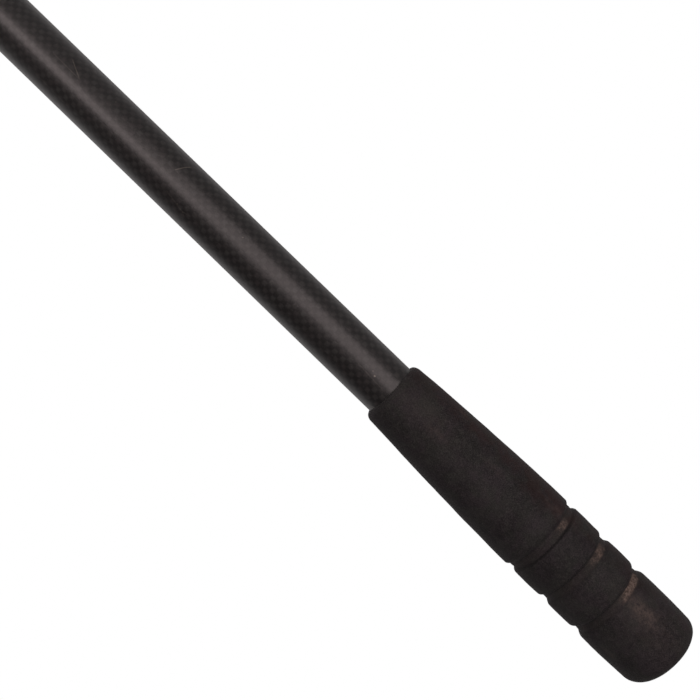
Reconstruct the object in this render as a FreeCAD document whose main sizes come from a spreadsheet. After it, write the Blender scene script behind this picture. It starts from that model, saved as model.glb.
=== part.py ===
import FreeCAD, Part
import math
import os
import Sketcher

# Curling broom, upright: +Z runs up the shaft, +X along the head, and z = 0 is the sole of the pad.
# Lengths are millimetres. The upper pivot turns about Y and the lower pivot about X.

V = FreeCAD.Vector
doc = FreeCAD.newDocument("curling_broom")

HEIGHT_TOLERANCE = 0.01         # for picking the edges at one height
EDGE_TOLERANCE = 0.1            # for telling a part's outer edge from its bore's
LEAST_CUT = 0.01                # mm3 that a cut must take away

# ---------------------------------------------------------------- driving dimensions

SIZES = {
    # whole broom
    "overall_height": 1200.0,
    "fit_gap": 0.05,            # radial gap of a glued or running fit
    "overlap": 1.0,             # how far a joined feature or a cutter runs past its neighbour's face
    # carbon shaft
    "shaft_diameter": 25.4,
    "shaft_wall": 1.6,
    "shaft_foot": 88.0,
    "plug_flange": 2.0,
    "plug_depth": 20.0,
    "plug_wall": 2.5,
    "insert_length": 56.0,
    # foam grip
    "grip_length": 167.0,
    "grip_end_wall": 7.5,
    "grip_collar_radius": 15.5,
    "grip_waist_radius": 17.9,
    "grip_waist_from_collar": 48.0,
    "grip_waist_arc": 900.0,    # radius of the bulge between collar and waist
    "grip_flare_radius": 18.85,
    "grip_flare_from_collar": 87.0,
    "grip_band_radius": 18.95,
    "grip_band_arc": 360.0,     # radius of the bulge from the upper groove to the end
    "grip_end_radius": 19.15,
    "grip_end_taper": 0.5,
    "grip_collar_round": 2.6,
    "grip_end_round": 6.5,
    "groove_lower": 92.0,       # groove centres, from the collar face
    "groove_middle": 111.6,
    "groove_upper": 130.2,
    "groove_half_width": 2.3,
    "groove_depth": 1.45,
    # ferrule
    "ferrule_radius": 17.3,
    "ferrule_neck_radius": 15.9,
    "ferrule_lip_radius": 16.8,
    "ferrule_lip_length": 5.0,
    "ferrule_lip_rise": 2.0,    # length of the step between neck and lip
    "ferrule_lip_chamfer": 1.5,
    "ferrule_top": 150.0,
    "fork_crotch": 12.5,        # above the upper pivot
    "fork_end_radius": 10.0,
    "fork_chamfer": 2.0,
    "fork_shoulder_foot": 3.0,  # below the crotch, where the cheeks begin to widen
    "fork_shoulder_top": 8.0,   # above the crotch, where they reach the ferrule's full radius
    "fork_margin": 2.0,
    "screw_height": 122.0,
    "screw_diameter": 3.6,
    "screw_head_diameter": 7.0,
    "screw_head_edge": 0.9,
    "screw_head_height": 2.4,
    "screw_dome_allowance": 0.75,
    "screw_length": 11.0,       # under the head
    "screw_point": 1.5,
    "screw_seat_depth": 0.5,
    "screw_seat_gap": 0.4,
    "screw_seat_clearance": 4.0,
    "cross_length": 4.0,
    "cross_width": 1.0,
    "cross_depth": 1.3,
    # swivel
    "lower_pivot_height": 36.0,
    "upper_pivot_height": 62.0,
    "block_width": 20.0,
    "block_round": 9.6,
    "bolt_diameter": 6.0,
    "bolt_hole_diameter": 6.2,
    "bush_diameter": 9.0,
    "bush_flange_diameter": 15.0,
    "bush_flange": 1.0,
    "bush_foot": 1.0,           # from the block's centre to the bush's inner end
    "pivot_side_play": 0.3,
    "seat_distance": 15.3,      # from the pivot centre to the washer seats
    "seat_diameter": 12.8,
    "washer_diameter": 12.0,
    "washer_thickness": 1.0,
    "washer_gap": 0.2,
    "bolt_head_diameter": 10.5,
    "bolt_head_height": 3.3,
    "bolt_head_edge": 0.7,
    "bolt_head_dome": 4.4,
    "bolt_end_chamfer": 0.6,
    "bolt_tail": 1.0,           # how far the bolt stands out of its nut
    "hex_key": 4.0,
    "hex_key_depth": 2.0,
    "hex_key_rim": 0.8,
    "nut_across_flats": 10.0,
    "nut_height": 4.2,
    "nut_collar_radius": 4.5,
    "nut_collar_height": 1.1,
    "nut_chamfer_width": 2.0,
    "nut_chamfer_height": 1.1,
    "nut_chamfer_margin": 0.1,
    # head
    "head_length": 194.0,
    "head_width": 60.0,
    "head_corner": 16.0,
    "head_underside": 13.6,
    "head_deck_top": 21.0,
    "deck_thickness": 3.0,
    "head_wall": 3.0,
    "deck_round": 3.5,
    "saddle_length": 70.0,
    "saddle_width": 36.0,
    "saddle_top": 24.0,
    "saddle_corner": 8.0,
    "saddle_round": 2.0,
    "lug_outer": 17.8,
    "lug_radius": 9.5,
    "lug_foot": 15.0,
    "lug_shoulder": 2.0,        # below the pivot, where the lug's sides begin to spread
    "lug_margin": 4.0,
    "gusset_thickness": 3.2,
    "gusset_offset": 9.0,
    "gusset_reach": 82.0,
    "gusset_tip": 4.0,
    "gusset_crest": 3.0,
    "gusset_drop": 7.0,         # from the lower pivot down to the gusset's top
    "rib_thickness": 2.4,
    "outer_rib": 0.28,          # station of each cross rib as a share of the head's length
    "inner_rib": 0.1,
    "socket_radius": 4.15,
    "socket_boss_radius": 7.0,
    "post_x": 72.0,
    "post_y": 17.0,
    # pad
    "pad_length": 200.0,
    "pad_width": 66.0,
    "pad_corner": 18.0,
    "pad_height": 13.2,
    "pad_round": 4.5,
    "cover_thickness": 1.0,
    "cover_lip": 9.0,
    "cover_lip_round": 0.9,
    "lip_margin": 2.0,
    "plate_thickness": 2.2,
    "post_radius": 3.8,
    "post_top": 22.6,
    "post_slit": 1.4,
    "post_slit_margin": 5.0,
    "post_slit_foot": 0.5,
    "post_tip_round": 1.2,
    "post_root": 0.5,
}

sheet = doc.addObject("Spreadsheet::Sheet", "Sizes")
for row, (alias, number) in enumerate(SIZES.items(), start=1):
    sheet.set(f"A{row}", alias.replace("_", " "))
    sheet.set(f"B{row}", str(number))
    sheet.setAlias(f"B{row}", alias)
doc.recompute()


def value(text):
    """The number that an expression over the sheet has now."""
    return float(sheet.evalExpression(str(text)))


# ---------------------------------------------------------------- helpers

def new_body(label):
    body = doc.addObject("PartDesign::Body", label)
    body.Label = label
    return body


def new_sketch(body, name, plane, offset="0"):
    """A sketch on one of the body's own origin planes, moved along that plane's normal."""
    sketch = body.newObject("Sketcher::SketchObject", name)
    support = [feature for feature in body.Origin.OriginFeatures if feature.Role == plane][0]
    sketch.AttachmentSupport = [(support, "")]
    sketch.MapMode = "FlatFace"
    sketch.setExpression(".AttachmentOffset.Base.z", offset)
    return sketch


def fix(sketch, kind, geometry, text):
    """A dimension of one sketch element, bound to an expression."""
    index = sketch.addConstraint(Sketcher.Constraint(kind, geometry, value(text)))
    sketch.setExpression(f"Constraints[{index}]", text)


def fix_point(sketch, geometry, end, across, up):
    """Both coordinates of an element's end point, bound to expressions."""
    for kind, text in (("DistanceX", across), ("DistanceY", up)):
        rule = Sketcher.Constraint(kind, -1, 1, geometry, end, value(text))
        index = sketch.addConstraint(rule)
        if value(text) != 0:
            sketch.setExpression(f"Constraints[{index}]", text)


def outline(sketch, corners):
    """A closed outline through corners (across, up) or (across, up, radius). A radius makes the run
    to the next corner an arc, which bulges to the left of the run, or to the right if negative."""
    points = [V(value(corner[0]), value(corner[1]), 0) for corner in corners]
    count = len(corners)
    ends = []
    for i, corner in enumerate(corners):
        start, end = points[i], points[(i + 1) % count]
        if len(corner) == 2:
            index = sketch.addGeometry(Part.LineSegment(start, end))
            ends.append((index, 1, 2))
        else:
            radius = value(corner[2])
            run = end - start
            side = V(-run.y, run.x, 0).normalize() * math.copysign(1, radius)
            rise = abs(radius) - math.sqrt(radius ** 2 - (run.Length / 2) ** 2)
            middle = (start + end) / 2 + side * rise
            index = sketch.addGeometry(Part.Arc(start, middle, end))
            ends.append((index, 2, 1) if radius > 0 else (index, 1, 2))
    for i, corner in enumerate(corners):
        index, begin, finish = ends[i]
        after, after_begin, _ = ends[(i + 1) % count]
        sketch.addConstraint(Sketcher.Constraint("Coincident", index, finish, after, after_begin))
        fix_point(sketch, index, begin, corner[0], corner[1])
        if len(corner) == 3:
            fix(sketch, "Radius", index, f"abs({corner[2]})")


def circle(sketch, across, up, radius):
    index = sketch.addGeometry(Part.Circle(V(value(across), value(up), 0), V(0, 0, 1), value(radius)))
    fix_point(sketch, index, 3, across, up)
    fix(sketch, "Radius", index, radius)


def rounded_rectangle(sketch, length, width, corner):
    """A rectangle centred on the origin whose four corners are quarter circles."""
    far, high = f"({length}) / 2", f"({width}) / 2"
    turn = f"-({corner})"
    outline(sketch, [
        (f"-({far}) + {corner}", f"-({high})"),
        (f"{far} - ({corner})", f"-({high})", turn),
        (far, f"-({high}) + {corner}"),
        (far, f"{high} - ({corner})", turn),
        (f"{far} - ({corner})", high),
        (f"-({far}) + {corner}", high, turn),
        (f"-({far})", f"{high} - ({corner})"),
        (f"-({far})", f"-({high}) + {corner}", turn),
    ])


def hexagon(sketch, across_flats):
    reach = f"({across_flats}) / sqrt(3)"
    half = f"({across_flats}) / 2"
    outline(sketch, [
        (reach, "0"), (f"{reach} / 2", half), (f"-{reach} / 2", half),
        (f"-{reach}", "0"), (f"-{reach} / 2", f"-{half}"), (f"{reach} / 2", f"-{half}"),
    ])


def pad(body, sketch, name, length, symmetric=False, downward=False):
    feature = body.newObject("PartDesign::Pad", name)
    feature.Profile = sketch
    feature.SideType = "Symmetric" if symmetric else "One side"
    feature.Reversed = downward
    feature.setExpression("Length", length)
    doc.recompute()
    return feature


def pocket(body, sketch, name, depth=None, along_normal=False):
    """Cuts against the sketch's normal by a depth, or right through both ways without one."""
    before = body.Shape.Volume
    feature = body.newObject("PartDesign::Pocket", name)
    feature.Profile = sketch
    feature.Reversed = along_normal
    if depth is None:
        feature.Type = "ThroughAll"
        feature.SideType = "Symmetric"
    else:
        feature.setExpression("Length", depth)
    doc.recompute()
    if not body.Shape.Volume < before - LEAST_CUT:
        raise RuntimeError(f"{body.Label}: {name} cuts nothing")
    return feature


def revolve(body, sketch, name):
    feature = body.newObject("PartDesign::Revolution", name)
    feature.Profile = sketch
    feature.ReferenceAxis = (sketch, ["V_Axis"])
    doc.recompute()
    return feature


def groove(body, sketch, name):
    before = body.Shape.Volume
    feature = body.newObject("PartDesign::Groove", name)
    feature.Profile = sketch
    feature.ReferenceAxis = (sketch, ["V_Axis"])
    doc.recompute()
    if not body.Shape.Volume < before - LEAST_CUT:
        raise RuntimeError(f"{body.Label}: {name} cuts nothing")
    return feature


def fillet(body, name, radius, wanted):
    """Rounds the edges of the body's last feature that the test picks."""
    base = body.Tip
    names = [f"Edge{i}" for i, edge in enumerate(base.Shape.Edges, start=1) if wanted(edge)]
    if not names:
        raise RuntimeError(f"{body.Label}: {name} finds no edge")
    feature = body.newObject("PartDesign::Fillet", name)
    feature.Base = (base, names)
    feature.setExpression("Radius", radius)
    doc.recompute()
    return feature


def at_height(height, tolerance=HEIGHT_TOLERANCE):
    """Picks edges that lie at one height."""
    level = value(height)

    def wanted(edge):
        box = edge.BoundBox
        return abs(box.ZMin - level) < tolerance and abs(box.ZMax - level) < tolerance
    return wanted


def cylinder(name, radius, height, foot="0"):
    solid = doc.addObject("Part::Cylinder", name)
    solid.setExpression("Radius", radius)
    solid.setExpression("Height", height)
    solid.setExpression(".Placement.Base.z", foot)
    return solid


def cross_hole(name, radius, height):
    """A cylinder along X through the axis, as a cutter for both walls of a tube."""
    solid = cylinder(name, radius, "Sizes.shaft_diameter * 2")
    solid.Placement = FreeCAD.Placement(V(0, 0, 0), FreeCAD.Rotation(V(0, 1, 0), 90))
    solid.setExpression(".Placement.Base.x", "-Sizes.shaft_diameter")
    solid.setExpression(".Placement.Base.z", height)
    return solid


def cut(label, base, tool):
    result = doc.addObject("Part::Cut", label)
    result.Label = label
    result.Base = base
    result.Tool = tool
    doc.recompute()
    return result


def group(label, solids):
    """Identical fasteners as one object of separate solids."""
    result = doc.addObject("Part::Compound", label)
    result.Label = label
    result.Links = solids
    doc.recompute()
    return result


def turn_to(obj, axis, height):
    """Turns an object built about its own Z so that its Z points along axis, at a pivot's height."""
    obj.Placement = FreeCAD.Placement(V(0, 0, 0), FreeCAD.Rotation(V(0, 0, 1), axis))
    obj.setExpression(".Placement.Base.z", height)
    return obj


# ---------------------------------------------------------------- shaft

def build_shaft_tube():
    foot = "Sizes.shaft_foot"
    length = "Sizes.overall_height - Sizes.grip_end_wall - Sizes.plug_flange - Sizes.shaft_foot"
    outside = cylinder("shaft_outside", "Sizes.shaft_diameter / 2", length, foot)
    inside = cylinder("shaft_inside", "Sizes.shaft_diameter / 2 - Sizes.shaft_wall", length, foot)
    pilot = cross_hole("shaft_pilot", "Sizes.screw_diameter / 2", "Sizes.screw_height")
    return cut("shaft_tube", cut("shaft_bored", outside, inside), pilot)


def build_shaft_insert():
    """The dowel in the foot of the tube, with the two screws' pilot hole across it."""
    radius = "Sizes.shaft_diameter / 2 - Sizes.shaft_wall - Sizes.fit_gap"
    dowel = cylinder("insert_dowel", radius, "Sizes.insert_length", "Sizes.shaft_foot")
    pilot = cross_hole("insert_pilot", "Sizes.screw_diameter / 2", "Sizes.screw_height")
    return cut("shaft_insert", dowel, pilot)


def build_shaft_end_plug():
    body = new_body("shaft_end_plug")
    sketch = new_sketch(body, "plug_profile", "XZ_Plane")
    inner = "Sizes.shaft_diameter / 2 - Sizes.shaft_wall - Sizes.fit_gap"
    rim = "Sizes.shaft_diameter / 2"
    top = "Sizes.overall_height - Sizes.grip_end_wall"
    seat = f"{top} - Sizes.plug_flange"
    bottom = f"{seat} - Sizes.plug_depth"
    wall = "Sizes.plug_wall"
    outline(sketch, [
        ("0", top), ("0", f"{top} - {wall}"), (f"{inner} - {wall}", f"{top} - {wall}"),
        (f"{inner} - {wall}", bottom), (inner, bottom), (inner, seat), (rim, seat), (rim, top),
    ])
    revolve(body, sketch, "plug")
    return body


# ---------------------------------------------------------------- foam grip

def build_grip_sleeve():
    """One foam moulding: a flared sleeve with a rounded collar, three grooves and a closed end."""
    body = new_body("grip_sleeve")
    collar = "Sizes.overall_height - Sizes.grip_length"
    top = "Sizes.overall_height"
    bore = "Sizes.shaft_diameter / 2 + Sizes.fit_gap"
    bore_end = "Sizes.overall_height - Sizes.grip_end_wall + Sizes.fit_gap"
    sketch = new_sketch(body, "grip_profile", "XZ_Plane")
    outline(sketch, [
        (bore, collar),
        ("Sizes.grip_collar_radius", collar),
        ("Sizes.grip_waist_radius", f"{collar} + Sizes.grip_waist_from_collar",
         "-Sizes.grip_waist_arc"),
        ("Sizes.grip_flare_radius", f"{collar} + Sizes.grip_flare_from_collar"),
        ("Sizes.grip_band_radius", f"{collar} + Sizes.groove_upper", "-Sizes.grip_band_arc"),
        ("Sizes.grip_end_radius - Sizes.grip_end_taper", top),
        ("0", top),
        ("0", bore_end),
        (bore, bore_end),
    ])
    revolve(body, sketch, "sleeve")
    fillet(body, "end_round", "Sizes.grip_end_round", at_height(top))
    outer = value("Sizes.grip_collar_radius")
    at_collar = at_height(collar)
    fillet(body, "collar_round", "Sizes.grip_collar_round",
           lambda edge: at_collar(edge) and edge.BoundBox.XMax > outer - EDGE_TOLERANCE)
    cutter = new_sketch(body, "groove_profile", "XZ_Plane")
    width, depth = "Sizes.groove_half_width", "Sizes.groove_depth"
    radius = f"({width} ^ 2 + {depth} ^ 2) / (2 * {depth})"
    for middle in ("Sizes.groove_lower", "Sizes.groove_middle", "Sizes.groove_upper"):
        circle(cutter, f"Sizes.grip_flare_radius - {depth} + {radius}", f"{collar} + {middle}", radius)
    groove(body, cutter, "grooves")
    return body


# ---------------------------------------------------------------- ferrule

def build_ferrule():
    """A moulded socket for the shaft, with a fork at its foot for the upper pivot."""
    body = new_body("ferrule")
    pivot = "Sizes.upper_pivot_height"
    crotch = "Sizes.upper_pivot_height + Sizes.fork_crotch"
    fork_foot = "Sizes.upper_pivot_height - Sizes.fork_end_radius"
    lip_foot = "Sizes.ferrule_top - Sizes.ferrule_lip_length"
    profile = new_sketch(body, "ferrule_profile", "XZ_Plane")
    outline(profile, [
        ("0", fork_foot),
        ("Sizes.ferrule_radius", fork_foot),
        ("Sizes.ferrule_radius", f"{crotch} + Sizes.fork_shoulder_top"),
        ("Sizes.ferrule_neck_radius", f"{lip_foot} - Sizes.ferrule_lip_rise"),
        ("Sizes.ferrule_lip_radius", lip_foot),
        ("Sizes.ferrule_lip_radius", "Sizes.ferrule_top - Sizes.ferrule_lip_chamfer"),
        ("Sizes.ferrule_lip_radius - Sizes.ferrule_lip_chamfer", "Sizes.ferrule_top"),
        ("0", "Sizes.ferrule_top"),
    ])
    revolve(body, profile, "blank")
    gap = new_sketch(body, "fork_gap", "YZ_Plane")
    half_gap = "Sizes.block_width / 2 + Sizes.bush_flange + Sizes.pivot_side_play"
    outline(gap, [
        (f"-({half_gap})", f"{fork_foot} - Sizes.overlap"), (half_gap, f"{fork_foot} - Sizes.overlap"),
        (half_gap, f"{crotch} - Sizes.fork_chamfer"), (f"{half_gap} - Sizes.fork_chamfer", crotch),
        (f"-({half_gap}) + Sizes.fork_chamfer", crotch),
        (f"-({half_gap})", f"{crotch} - Sizes.fork_chamfer"),
    ])
    pocket(body, gap, "fork_slot")
    build_fork_flanks(body, pivot, crotch, fork_foot)
    socket = new_sketch(body, "socket_bore", "XY_Plane", "Sizes.ferrule_top")
    circle(socket, "0", "0", "Sizes.shaft_diameter / 2 + Sizes.fit_gap")
    pocket(body, socket, "socket", "Sizes.ferrule_top - Sizes.shaft_foot + Sizes.fit_gap")
    bolt = new_sketch(body, "bolt_bore", "XZ_Plane")
    circle(bolt, "0", pivot, "Sizes.bolt_hole_diameter / 2")
    pocket(body, bolt, "bolt_hole")
    cut_seats(body, "XZ_Plane", pivot, "Sizes.ferrule_radius + Sizes.overlap")
    screws = new_sketch(body, "screw_bore", "YZ_Plane")
    circle(screws, "0", "Sizes.screw_height", "Sizes.screw_diameter / 2 + Sizes.fit_gap")
    pocket(body, screws, "screw_holes")
    for side in ("1", "-1"):
        face = new_sketch(body, "screw_seat" + ("_right" if side == "1" else "_left"),
                          "YZ_Plane", f"{side} * (Sizes.ferrule_neck_radius - Sizes.screw_seat_depth)")
        circle(face, "0", "Sizes.screw_height",
               "Sizes.screw_head_diameter / 2 + Sizes.screw_seat_gap")
        pocket(body, face, "spotface" + ("_right" if side == "1" else "_left"),
               "Sizes.screw_seat_clearance", along_normal=side == "1")
    return body


def build_fork_flanks(body, pivot, crotch, fork_foot):
    """Trims both cheeks to a round end about the pivot that widens up to the socket."""
    end, edge = "Sizes.fork_end_radius", "Sizes.ferrule_radius + Sizes.fork_margin"
    shoulder, below = f"{crotch} + Sizes.fork_shoulder_top", f"{fork_foot} - Sizes.overlap"
    for side, name in ((1, "right"), (-1, "left")):
        flank = new_sketch(body, f"flank_{name}", "XZ_Plane")
        turn = f"{-side} * Sizes.fork_end_radius"
        outline(flank, [
            ("0", fork_foot, turn),
            (f"{side} * ({end})", pivot),
            (f"{side} * ({end})", f"{crotch} - Sizes.fork_shoulder_foot"),
            (f"{side} * (Sizes.ferrule_radius)", shoulder),
            (f"{side} * ({edge})", shoulder),
            (f"{side} * ({edge})", below),
            ("0", below),
        ])
        pocket(body, flank, f"flank_cut_{name}")


def cut_seats(body, plane, pivot, outside):
    """Flat washer seats on the outer faces of a fork or a pair of lugs."""
    for side, name in (("1", "far"), ("-1", "near")):
        seat = new_sketch(body, f"seat_{name}", plane, f"{side} * Sizes.seat_distance")
        circle(seat, "0", pivot, "Sizes.seat_diameter / 2")
        pocket(body, seat, f"seat_cut_{name}", f"{outside} - Sizes.seat_distance",
               along_normal=side == "1")


def build_ferrule_screw():
    """A pan-head screw along +Z with its point towards the origin."""
    body = new_body("ferrule_screw")
    seat = "Sizes.ferrule_neck_radius - Sizes.screw_seat_depth"
    shank, head = "Sizes.screw_diameter / 2 - Sizes.fit_gap", "Sizes.screw_head_diameter / 2"
    point, crown = f"{seat} - Sizes.screw_length", f"{seat} + Sizes.screw_head_height"
    profile = new_sketch(body, "screw_profile", "XZ_Plane")
    dome = f"({head}) ^ 2 / 3 + Sizes.screw_dome_allowance"
    outline(profile, [
        ("0", point), (shank, f"{point} + Sizes.screw_point"), (shank, seat),
        (head, seat), (head, f"{seat} + Sizes.screw_head_edge", f"-({dome})"), ("0", crown),
    ])
    revolve(body, profile, "screw")
    for name, length, width in (("slot_a", "Sizes.cross_length", "Sizes.cross_width"),
                                ("slot_b", "Sizes.cross_width", "Sizes.cross_length")):
        slot = new_sketch(body, name, "XY_Plane", crown)
        outline(slot, [
            (f"-{length} / 2", f"-{width} / 2"), (f"{length} / 2", f"-{width} / 2"),
            (f"{length} / 2", f"{width} / 2"), (f"-{length} / 2", f"{width} / 2"),
        ])
        pocket(body, slot, f"{name}_cut", "Sizes.cross_depth")
    return turn_to(body, V(1, 0, 0), "Sizes.screw_height")


def build_ferrule_screws():
    right = build_ferrule_screw()
    left = doc.addObject("Part::Mirroring", "ferrule_screw_left")
    left.Source = right
    left.Normal = V(1, 0, 0)
    return group("ferrule_screws", [right, left])


# ---------------------------------------------------------------- pivot hardware

def build_pivot_bolt(label, axis, height):
    """A button-head bolt whose head is towards +Z of its own axis."""
    body = new_body(label)
    under_head = "Sizes.seat_distance + Sizes.washer_thickness"
    crown = f"{under_head} + Sizes.bolt_head_height"
    shank, head = "Sizes.bolt_diameter / 2", "Sizes.bolt_head_diameter / 2"
    tail = f"{under_head} + Sizes.nut_height + Sizes.bolt_tail"
    chamfer = "Sizes.bolt_end_chamfer"
    profile = new_sketch(body, "bolt_profile", "XZ_Plane")
    outline(profile, [
        ("0", f"-({tail})"), (f"{shank} - {chamfer}", f"-({tail})"), (shank, f"-({tail}) + {chamfer}"),
        (shank, under_head), (head, under_head),
        (head, f"{under_head} + Sizes.bolt_head_edge", "-Sizes.bolt_head_dome"),
        ("Sizes.hex_key / 2 + Sizes.hex_key_rim", crown), ("0", crown),
    ])
    revolve(body, profile, "bolt")
    key = new_sketch(body, "key_profile", "XY_Plane", crown)
    hexagon(key, "Sizes.hex_key")
    pocket(body, key, "key_socket", "Sizes.hex_key_depth")
    return turn_to(body, axis, height)


def build_pivot_nut(label, axis, height):
    """A thin lock nut with chamfered corners and a round collar, on the bolt's tail."""
    body = new_body(label)
    seat = "-(Sizes.seat_distance + Sizes.washer_thickness)"
    flats = new_sketch(body, "nut_outline", "XY_Plane", seat)
    hexagon(flats, "Sizes.nut_across_flats")
    pad(body, flats, "hexagon", "Sizes.nut_height - Sizes.nut_collar_height", downward=True)
    trim = new_sketch(body, "nut_chamfer", "XZ_Plane")
    low = f"{seat} - Sizes.nut_height + Sizes.nut_collar_height"
    flat = "Sizes.nut_across_flats / 2"
    wide, below = f"{flat} + Sizes.nut_chamfer_width", f"{low} - Sizes.nut_chamfer_margin"
    outline(trim, [
        (flat, below), (wide, below), (wide, f"{low} + Sizes.nut_chamfer_height"),
    ])
    groove(body, trim, "corner_chamfer")
    collar = new_sketch(body, "collar_outline", "XY_Plane", low)
    circle(collar, "0", "0", "Sizes.nut_collar_radius")
    pad(body, collar, "collar", "Sizes.nut_collar_height", downward=True)
    hole = new_sketch(body, "thread_bore", "XY_Plane")
    circle(hole, "0", "0", "Sizes.bolt_diameter / 2 + Sizes.fit_gap")
    pocket(body, hole, "thread_hole")
    return turn_to(body, axis, height)


def build_pivot_washers(label, axis, height):
    rings = []
    for name, foot in (("head", "Sizes.seat_distance"),
                       ("nut", "-(Sizes.seat_distance + Sizes.washer_thickness)")):
        disc = cylinder(f"{label}_{name}_disc", "Sizes.washer_diameter / 2",
                        "Sizes.washer_thickness", foot)
        hole = cylinder(f"{label}_{name}_hole", "Sizes.bolt_diameter / 2 + Sizes.washer_gap",
                        "Sizes.washer_thickness", foot)
        rings.append(cut(f"{label}_{name}", disc, hole))
    return turn_to(group(label, rings), axis, height)


def build_bush(label, axis, height):
    """A flanged bush in one end of a bore: its flange bears between block and lug."""
    body = new_body(label)
    bore = "Sizes.bolt_diameter / 2 + Sizes.fit_gap"
    outer = "Sizes.bush_diameter / 2"
    face = "Sizes.block_width / 2"
    profile = new_sketch(body, "bush_profile", "XZ_Plane")
    outline(profile, [
        (bore, "Sizes.bush_foot"), (outer, "Sizes.bush_foot"), (outer, face),
        ("Sizes.bush_flange_diameter / 2", face),
        ("Sizes.bush_flange_diameter / 2", f"{face} + Sizes.bush_flange"),
        (bore, f"{face} + Sizes.bush_flange"),
    ])
    revolve(body, profile, "bush")
    return turn_to(body, axis, height)


def build_pivot_block():
    """The swivel: one bore along X for the head, one along Y for the fork."""
    body = new_body("pivot_block")
    low, high = "Sizes.lower_pivot_height", "Sizes.upper_pivot_height"
    half = "Sizes.block_width / 2"
    side = new_sketch(body, "block_side", "YZ_Plane")
    outline(side, [
        (f"-{half}", low, f"-{half}"), ("0", f"{low} - {half}", f"-{half}"), (half, low),
        (half, f"{high} + {half}"), (f"-{half}", f"{high} + {half}"),
    ])
    pad(body, side, "block", "Sizes.block_width", symmetric=True)
    level = at_height(f"{high} + {half}")
    fillet(body, "block_top_round", "Sizes.block_round",
           lambda edge: level(edge) and edge.BoundBox.YLength > value(half))
    for plane, height, name in (("YZ_Plane", low, "lower"), ("XZ_Plane", high, "upper")):
        bore = new_sketch(body, f"{name}_bore", plane)
        circle(bore, "0", height, "Sizes.bush_diameter / 2 + Sizes.fit_gap")
        pocket(body, bore, f"{name}_hole")
    return body


# ---------------------------------------------------------------- head

def build_head_body():
    """A ribbed deck that is open below, with a saddle, two lugs and gussets on top."""
    body = new_body("head_body")
    under, top = "Sizes.head_underside", "Sizes.head_deck_top"
    rim = new_sketch(body, "deck_outline", "XY_Plane", under)
    rounded_rectangle(rim, "Sizes.head_length", "Sizes.head_width", "Sizes.head_corner")
    pad(body, rim, "deck", f"{top} - {under}")
    fillet(body, "deck_round", "Sizes.deck_round", at_height(top))
    hollow = new_sketch(body, "hollow_outline", "XY_Plane", under)
    rounded_rectangle(hollow, "Sizes.head_length - 2 * Sizes.head_wall",
                      "Sizes.head_width - 2 * Sizes.head_wall", "Sizes.head_corner - Sizes.head_wall")
    pocket(body, hollow, "hollow", f"{top} - {under} - Sizes.deck_thickness", along_normal=True)
    add_ribs(body)
    saddle = new_sketch(body, "saddle_outline", "XY_Plane", f"{top} - Sizes.overlap")
    rounded_rectangle(saddle, "Sizes.saddle_length", "Sizes.saddle_width", "Sizes.saddle_corner")
    pad(body, saddle, "saddle", f"Sizes.saddle_top - {top} + Sizes.overlap")
    fillet(body, "saddle_round", "Sizes.saddle_round", at_height("Sizes.saddle_top"))
    add_lugs(body)
    add_gussets(body)
    bolt = new_sketch(body, "bolt_bore", "YZ_Plane")
    circle(bolt, "0", "Sizes.lower_pivot_height", "Sizes.bolt_hole_diameter / 2")
    pocket(body, bolt, "bolt_hole")
    cut_seats(body, "YZ_Plane", "Sizes.lower_pivot_height", "Sizes.lug_outer + Sizes.lug_margin")
    sockets = new_sketch(body, "socket_bores", "XY_Plane")
    at_posts(lambda across, up: circle(sockets, across, up, "Sizes.socket_radius"))
    pocket(body, sockets, "sockets")
    return body


def at_posts(draw):
    """Repeats a drawing at the four post positions."""
    for across in ("Sizes.post_x", "-Sizes.post_x"):
        for up in ("Sizes.post_y", "-Sizes.post_y"):
            draw(across, up)


def add_ribs(body):
    """Crossing ribs and socket bosses on the underside of the deck."""
    under = "Sizes.head_underside"
    depth = f"Sizes.head_deck_top - {under} - Sizes.deck_thickness / 2"
    bosses = new_sketch(body, "boss_outline", "XY_Plane", under)
    at_posts(lambda across, up: circle(bosses, across, up, "Sizes.socket_boss_radius"))
    pad(body, bosses, "bosses", depth)
    half_rib = "Sizes.rib_thickness / 2"
    reach = "Sizes.head_width / 2 - Sizes.head_wall / 2"
    cross_ribs = new_sketch(body, "cross_rib_outline", "XY_Plane", under)
    for station in ("-Sizes.outer_rib", "-Sizes.inner_rib", "Sizes.inner_rib", "Sizes.outer_rib"):
        middle = f"{station} * Sizes.head_length"
        outline(cross_ribs, [
            (f"{middle} - {half_rib}", f"-({reach})"), (f"{middle} + {half_rib}", f"-({reach})"),
            (f"{middle} + {half_rib}", reach), (f"{middle} - {half_rib}", reach),
        ])
    pad(body, cross_ribs, "cross_ribs", depth)
    long_rib = new_sketch(body, "long_rib_outline", "XY_Plane", under)
    end = "Sizes.head_length / 2 - Sizes.head_wall / 2"
    outline(long_rib, [
        (f"-({end})", f"-{half_rib}"), (end, f"-{half_rib}"), (end, half_rib), (f"-({end})", half_rib),
    ])
    pad(body, long_rib, "long_rib", depth)


def add_lugs(body):
    """Two lugs that straddle the swivel block, round about the lower pivot."""
    base = "Sizes.saddle_top - Sizes.overlap"
    pivot, radius = "Sizes.lower_pivot_height", "Sizes.lug_radius"
    shoulder = f"{pivot} - Sizes.lug_shoulder"
    inner = "Sizes.block_width / 2 + Sizes.bush_flange + Sizes.pivot_side_play"
    for side, name in (("1", "right"), ("-1", "left")):
        lug = new_sketch(body, f"lug_{name}", "YZ_Plane", f"{side} * ({inner})")
        outline(lug, [
            ("-Sizes.lug_foot", base), ("Sizes.lug_foot", base), (radius, shoulder),
            (radius, pivot, f"-{radius}"), ("0", f"{pivot} + {radius}", f"-{radius}"),
            (f"-{radius}", pivot), (f"-{radius}", shoulder),
        ])
        pad(body, lug, f"lug_pad_{name}", f"Sizes.lug_outer - ({inner})", downward=side == "-1")


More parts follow.
